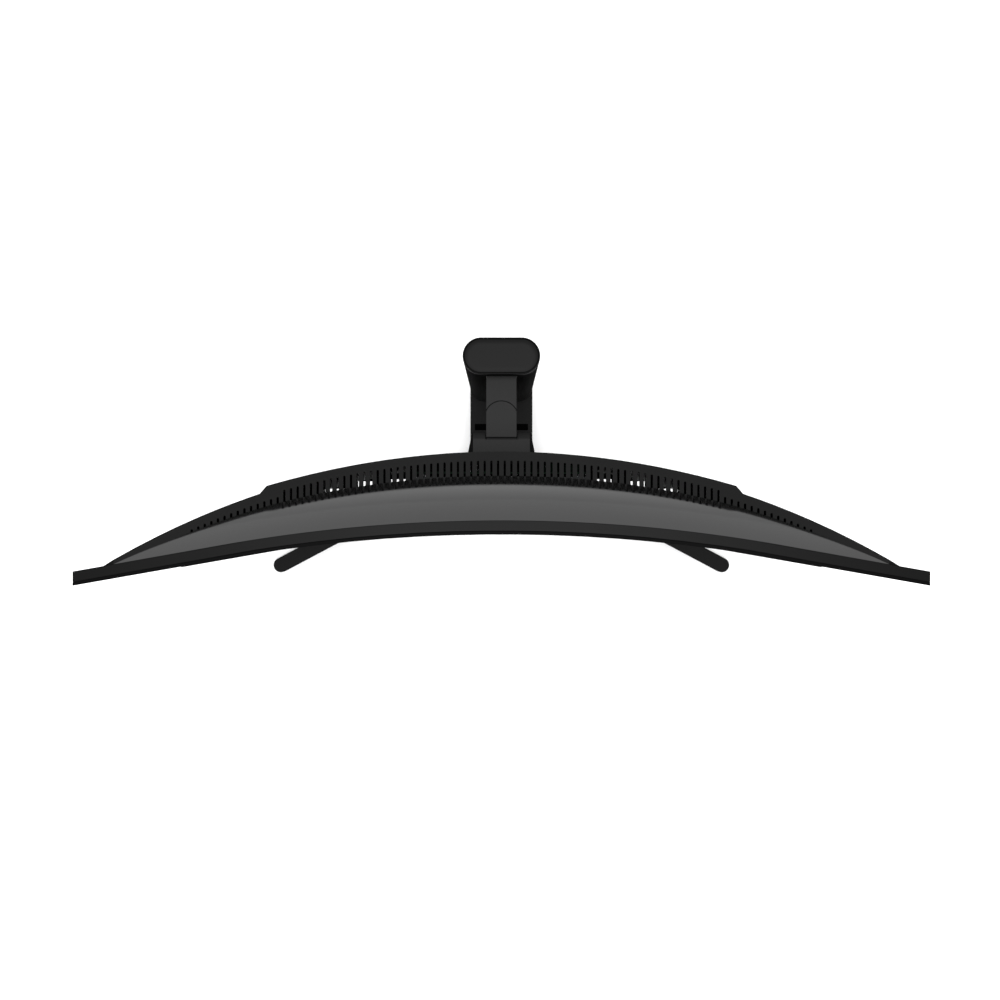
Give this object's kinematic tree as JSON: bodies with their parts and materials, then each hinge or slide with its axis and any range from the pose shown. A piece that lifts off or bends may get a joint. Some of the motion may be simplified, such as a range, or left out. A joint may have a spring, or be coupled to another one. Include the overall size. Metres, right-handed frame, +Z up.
{
  "type": "computer monitor",
  "caption": "Bowed wide desktop monitor with a vented back on a lifting, swivelling and tilting column stand with splayed legs.",
  "frame": {"origin": "on the desk, under the middle of the whole monitor's bounding box", "axes": "+X to the right of the person at the screen, +Y to the back, +Z up"},
  "size_m": [0.809, 0.2813, 0.5],
  "materials": {
    "screen_glass": "gloss",
    "front_black": "satin",
    "matte_black": "fine matte texture",
    "gloss_black": "polished",
    "stand_black": "matte powder coat",
    "hinge_black": "satin black",
    "stand_plastic": "fine matte texture",
    "steel": "zinc plated",
    "black_steel": "blackened",
    "acrylic": "clear sheet",
    "circuit_board": "solder mask",
    "nylon": "natural",
    "rubber": "matte",
    "cast_aluminium": "as cast"
  },
  "bodies": {
    "base": {"base_plate": "stand_black", "leg_left": "stand_black", "leg_right": "stand_black", "leg_screws": "black_steel", "rubber_feet": "rubber", "column_shell": "stand_black", "column_cap": "stand_plastic", "column_foot": "cast_aluminium", "lift_rail": "steel", "spring_tube": "black_steel"},
    "hand_screw": {"hand_screw": "black_steel"},
    "lift": {"arm": "hinge_black", "swivel_bush": "nylon", "carriage": "cast_aluminium", "glide_pads": "nylon", "spring_rod": "steel"},
    "swivel": {"tongue": "hinge_black", "stop_bar": "black_steel", "tilt_shaft": "steel", "friction_discs": "black_steel", "swivel_pin": "steel", "swivel_washers": "steel", "swivel_nut": "steel"},
    "display": {"lcd_panel": "screen_glass", "backlight_unit": "acrylic", "panel_tray": "steel", "led_bar": "circuit_board", "front_frame": "front_black", "rim_frame": "matte_black", "chin_strip": "matte_black", "status_light": "acrylic", "upper_back_cover": "gloss_black", "lower_back_cover": "matte_black", "rear_cover": "matte_black", "chassis_pan": "black_steel", "board_standoffs": "steel", "main_board": "circuit_board", "power_board": "circuit_board", "vesa_plate": "stand_black", "plate_posts": "steel", "socket_plate": "black_steel", "hdmi_socket_outer": "steel", "hdmi_socket_inner": "steel", "display_socket": "steel", "audio_socket": "stand_plastic", "power_socket": "stand_plastic", "socket_board": "circuit_board", "joystick_housing": "stand_plastic", "head_plate": "stand_black", "hinge_block": "hinge_black", "neck_cover": "stand_plastic", "head_screws": "black_steel"},
    "release_button": {"release_button": "stand_plastic"},
    "joystick_rocker": {"joystick_ring": "nylon"},
    "joystick_tilter": {"joystick_stick": "steel"},
    "joystick_cap": {"joystick_cap": "stand_plastic"}
  },
  "joints": [
    {"name": "height_lift", "type": "slide", "parent": "base", "child": "lift", "axis": [0, 0, 1], "range_m": [-0.1, 0]},
    {"name": "swivel", "type": "hinge", "parent": "lift", "child": "swivel", "pos_m": [0, 0.05255, 0.275], "axis": [0, 0, 1], "range_deg": [-20, 20]},
    {"name": "tilt", "type": "hinge", "parent": "swivel", "child": "display", "pos_m": [0, 0.027, 0.283], "axis": [-1, 0, 0], "range_deg": [-5, 20]},
    {"name": "hand_screw_turn", "type": "hinge", "parent": "base", "child": "hand_screw", "pos_m": [0, 0.11995, 0.004], "axis": [0, 0, -1], "continuous": true},
    {"name": "release_press", "type": "slide", "parent": "display", "child": "release_button", "axis": [0, 0, 1], "range_m": [0, 0.0025], "stiffness_N_per_m": 400, "springref_m": -0.002},
    {"name": "joystick_up_down", "type": "hinge", "parent": "display", "child": "joystick_rocker", "pos_m": [0, -0.006, 0.186], "axis": [1, 0, 0], "range_deg": [-6, 6], "stiffness_Nm_per_rad": 0.03},
    {"name": "joystick_left_right", "type": "hinge", "parent": "joystick_rocker", "child": "joystick_tilter", "pos_m": [0, -0.006, 0.186], "axis": [0, 1, 0], "range_deg": [-6, 6], "stiffness_Nm_per_rad": 0.03},
    {"name": "joystick_press", "type": "slide", "parent": "joystick_tilter", "child": "joystick_cap", "axis": [0, 0, 1], "range_m": [0, 0.0008], "stiffness_N_per_m": 400, "springref_m": -0.0005}
  ]
}
